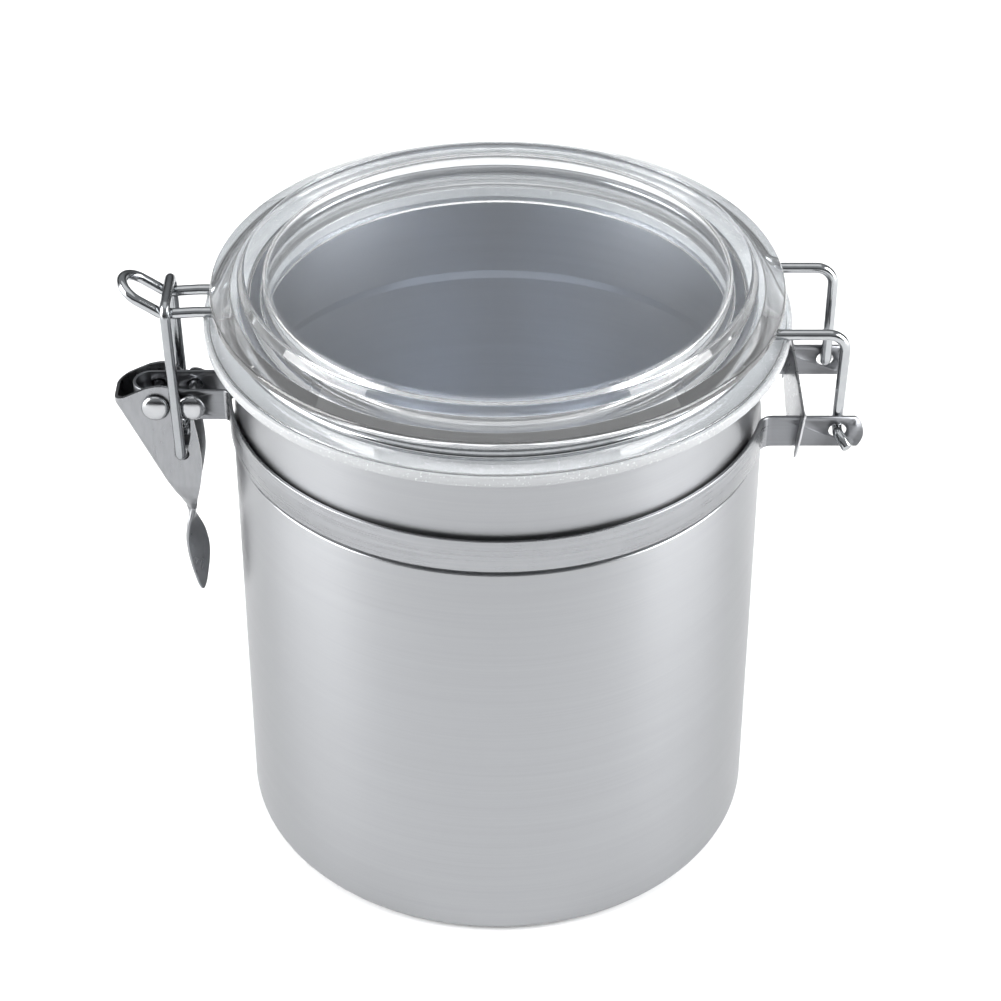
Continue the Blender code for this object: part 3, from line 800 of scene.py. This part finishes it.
def smooth_curve(points, steps):
    """A curve through every point, with even-handed tangents, as a list of tuples."""
    out = []
    for i in range(len(points) - 1):
        p0 = points[max(i - 1, 0)]
        p1, p2 = points[i], points[i + 1]
        p3 = points[min(i + 2, len(points) - 1)]
        for k in range(steps):
            t = k / steps
            row = []
            for a, b, c, d in zip(p0, p1, p2, p3):
                row.append(
                    b + 0.5 * t * (c - a + t * (2 * a - 5 * b + 4 * c - d + t * (3 * (b - c) + d - a)))
                )
            out.append(tuple(row))
    out.append(tuple(points[-1]))
    return out


def lever_outline():
    """The side plates' outline, with the keyhole for the loop and the hook under the rivet."""
    clear_r = EAR_RIVET_X - PIVOT.x - RIVET_R - 2 * GAP
    loop_hole = (5.05, -13.0)
    top = smooth_curve([(-9.5, 1.2), (-3.0, 4.3), (-1.0, 5.0), (1.2, 5.3), (3.4, 4.9)], 5)
    outline = [(-14.0, 1.2)] + top[:-1]
    outline += arc((0, 0), clear_r, 42, -24, 16)
    outline += [(4.2, -6.0), (3.5, -9.5)]
    outline += arc(loop_hole, LOOP_HOLE_R, 170, 400, 28)
    outline += [(7.0, -9.6), (7.4, -7.2), (7.5, -4.6), (7.6, -3.3), (8.2, -3.8)]
    edge = [(8.7, -7.5), (9.2, -12.0), (9.35, -16.4), (9.1, -19.4), (8.4, -23.4), (7.4, -27.6)]
    outline += smooth_curve(edge + [(6.6, -31.0)], 4)
    outline += [(6.6, -34.0), (-14.0, -34.0)]
    return [(PIVOT.x + x, PIVOT.z + z) for x, z in outline]


# Tail below the side plates: z, middle x, half width, half thickness, and turn about Z.
LEVER_TAIL = (
    (-29.5, 5.5, 1.6, 0.72, 0), (-31.5, 5.6, 1.35, 0.75, -35), (-33.0, 5.5, 1.5, 0.70, -75),
    (-35.0, 5.5, 2.1, 0.60, -105), (-37.2, 5.7, 2.8, 0.50, -117), (-39.5, 6.0, 3.25, 0.42, -124),
    (-42.0, 6.3, 3.45, 0.40, -126), (-45.0, 6.6, 3.4, 0.40, -127), (-48.5, 6.75, 2.85, 0.40, -127),
    (-52.0, 6.8, 2.0, 0.40, -126), (-54.5, 6.8, 1.2, 0.40, -125), (-55.8, 6.75, 0.5, 0.36, -125),
)


def lever_tail():
    """The twisted tail: a thin blade with rounded edges, lofted through its sections."""
    section = []
    for side, start in ((1, -90), (-1, 90)):
        for u, v in arc((0, 0), 1.0, start, start + 180, 8):
            section.append((side, u, v))
    bm = bmesh.new()
    rings = []
    for z, x, half, thick, turn in smooth_curve(LEVER_TAIL, 6):
        a = math.radians(turn)
        along = Vector((math.cos(a), math.sin(a), 0))
        across = Vector((-math.sin(a), math.cos(a), 0))
        middle = Vector((PIVOT.x + x, 0, PIVOT.z + z))
        straight = half - min(thick, half * 0.9)
        edge = min(thick, half * 0.9)
        ring = []
        for side, u, v in section:
            point = middle + along * (side * straight + u * edge) + across * (thick * v)
            ring.append(bm.verts.new(point))
        rings.append(ring)
    count = len(section)
    for a, b in zip(rings, rings[1:]):
        for k in range(count):
            m = (k + 1) % count
            bm.faces.new((a[k], a[m], b[m], b[k]))
    bm.faces.new(rings[0])
    bm.faces.new(list(reversed(rings[-1])))
    return bm


def lever_piece(mat, inside_painted_shading_mat):
    """The folded sheet lever: a hollowed channel cut to its side outline, and its tail."""
    outer_levels = [-32.2] + [-31.8 + 0.9 * i for i in range(18)] + [-12, -8, -4, 0, 8]
    inner_levels = [-29 + i for i in range(15)] + [-12, -8, -4, 0, 12]
    lever = add_piece("lever_plate", channel(outer_levels, 0.0, 14.0), mat)
    # The inner channel's faces take a much darker copy of the lever steel: painted shade inside the
    # fold.
    cut(lever, channel(inner_levels, LEVER_T, 18.0), mat=inside_painted_shading_mat)
    cut(lever, prism_along_y(lever_outline(), 12), "INTERSECT")
    cut(lever, rod_along_y(PIVOT.x, PIVOT.z, RIVET_HOLE_R, 10))
    cut(lever, lever_tail(), "UNION")
    lever.data.shade_smooth()
    lever.data.set_sharp_from_angle(angle=math.radians(35))
    return lever


# ---------------------------------------------------------------- stage

def stage_material(name, color, roughness=0.8):
    mat = bpy.data.materials.new(name)
    mat.use_nodes = True
    shader = mat.node_tree.nodes["Principled BSDF"]
    shader.inputs["Base Color"].default_value = (*color, 1.0)
    shader.inputs["Roughness"].default_value = roughness
    shader.inputs["Specular IOR Level"].default_value = 0.0
    return mat


def add_softbox(name, size, location, aim, power):
    light = bpy.data.lights.new(name, "AREA")
    light.shape = "RECTANGLE"
    light.size, light.size_y = size
    light.energy = power
    obj = bpy.data.objects.new(name, light)
    bpy.context.scene.collection.objects.link(obj)
    obj.location = location
    obj.rotation_euler = (Vector(aim) - Vector(location)).to_track_quat("-Z", "Y").to_euler()
    obj.visible_camera = False


def add_stage():
    bm = bmesh.new()
    bmesh.ops.create_circle(bm, cap_ends=True, segments=96, radius=6.0)
    mesh = bpy.data.meshes.new("floor")
    bm.to_mesh(mesh)
    bm.free()
    mesh.materials.append(stage_material("floor_white", (0.92, 0.92, 0.92)))
    floor = bpy.data.objects.new("floor", mesh)
    bpy.context.scene.collection.objects.link(floor)
    floor.location = (0, 0, -0.0002)

    # A grey gradient, lighter upwards, lights the object. The camera itself sees plain white.
    world = bpy.data.worlds.new("studio")
    bpy.context.scene.world = world
    world.use_nodes = True
    nodes, links = world.node_tree.nodes, world.node_tree.links
    split = nodes.new("ShaderNodeSeparateXYZ")
    links.new(nodes.new("ShaderNodeTexCoord").outputs["Generated"], split.inputs[0])
    ramp = nodes.new("ShaderNodeValToRGB")
    ramp.color_ramp.elements[0].position = 0.20
    ramp.color_ramp.elements[0].color = (0.14, 0.145, 0.15, 1.0)
    ramp.color_ramp.elements[1].position = 0.55
    ramp.color_ramp.elements[1].color = (0.95, 0.975, 1.0, 1.0)
    links.new(split.outputs["Z"], ramp.inputs[0])
    links.new(ramp.outputs["Color"], nodes["Background"].inputs["Color"])
    nodes["Background"].inputs["Strength"].default_value = 0.45
    white = nodes.new("ShaderNodeBackground")
    white.inputs["Color"].default_value = (1.0, 1.0, 1.0, 1.0)
    shown = nodes.new("ShaderNodeMixShader")
    links.new(nodes.new("ShaderNodeLightPath").outputs["Is Camera Ray"], shown.inputs["Fac"])
    links.new(nodes["Background"].outputs[0], shown.inputs[1])
    links.new(white.outputs[0], shown.inputs[2])
    links.new(shown.outputs[0], nodes["World Output"].inputs["Surface"])

    aim = (0, 0, 0.08)
    add_softbox("top", (1.6, 1.6), (0.0, 0.1, 1.7), aim, 8)
    add_softbox("left", (0.8, 1.0), (-1.05, -0.25, 0.5), aim, 26)
    add_softbox("right", (0.8, 1.0), (1.05, -0.25, 0.5), aim, 26)


def add_camera():
    data = bpy.data.cameras.new("camera")
    data.sensor_width = 36.0
    data.lens = 98.69
    data.shift_x = 0.0027
    data.shift_y = -0.0367
    data.clip_start = 0.01
    data.clip_end = 50.0
    camera = bpy.data.objects.new("camera", data)
    bpy.context.scene.collection.objects.link(camera)
    elevation = math.radians(35.58)
    distance = 0.63354
    aim = Vector((0, 0, 0.0909))
    camera.location = aim + Vector((0, -math.cos(elevation), math.sin(elevation))) * distance
    camera.rotation_euler = (math.pi / 2 - elevation, 0, 0)
    bpy.context.scene.camera = camera


# ---------------------------------------------------------------- the object

def place(piece, body, node):
    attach(piece, body)
    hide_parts(node)


def build_object():
    body_steel = brushed_round("body_steel", (0.300, 0.305, 0.315), 0.32, 0.75, 0.0025)
    # A lighter copy of the body steel for the inside of the can: painted light.
    inside_painted_light_steel = brushed_round("inside_painted_light_steel", (0.57, 0.60, 0.65), 0.32, 0.6, 0.012)
    band_steel = brushed_flat("band_steel", (0.272, 0.277, 0.287), 0.28, (30, 30, 1500))
    # A darker copy of the band steel for the ears: painted shade.
    ear_painted_shade_steel = brushed_flat("ear_painted_shade_steel", (0.185, 0.19, 0.20), 0.36, (30, 30, 1500))
    keeper_steel = brushed_flat("keeper_steel", (0.46, 0.465, 0.475), 0.30, (60, 600, 1800))
    lever_steel = brushed_flat("lever_steel", (0.25, 0.255, 0.265), 0.30, (900, 300, 200))
    # A much darker copy of the lever steel for the inside of the fold: painted shade.
    lever_painted_shade_steel = brushed_flat("lever_inside_painted_shade", (0.10, 0.10, 0.105), 0.30, (900, 300, 200))
    chrome = polished("bail_chrome", (0.36, 0.37, 0.38), 0.12)
    loop_chrome = polished("loop_chrome", (0.29, 0.30, 0.31), 0.18)
    rivet_chrome = polished("rivet_chrome", (0.38, 0.385, 0.395), 0.18)

    body = body_piece(body_steel, inside_painted_light_steel)
    place(body, "canister", "canister_body")
    place(band_piece(band_steel, ear_painted_shade_steel), "canister", "neck_band")
    place(keeper_piece(keeper_steel), "canister", "band_keeper")
    pivot = rivet_piece("pivot_rivet_metal", PIVOT.x, rivet_chrome)
    place(pivot, "canister", "pivot_rivet")
    ear = rivet_piece("ear_rivet_metal", EAR_RIVET_X, rivet_chrome)
    place(ear, "canister", "ear_rivet")
    plate = acrylic("clear_acrylic", 0.99, 0.006)
    moulded_rim = acrylic("moulded_rim", 0.972, 0.016)
    place(lid_piece(plate, moulded_rim), "lid", "lid")
    place(gasket_piece(silicone()), "lid", "lid_gasket")
    place(bail_piece(chrome), "lid", "lid_bail")
    place(lever_piece(lever_steel, lever_painted_shade_steel), "lever", "latch_lever")
    place(loop_piece(loop_chrome), "loop", "latch_loop")


add_camera()
add_stage()
build_object()
bpy.context.scene.view_settings.view_transform = "Standard"
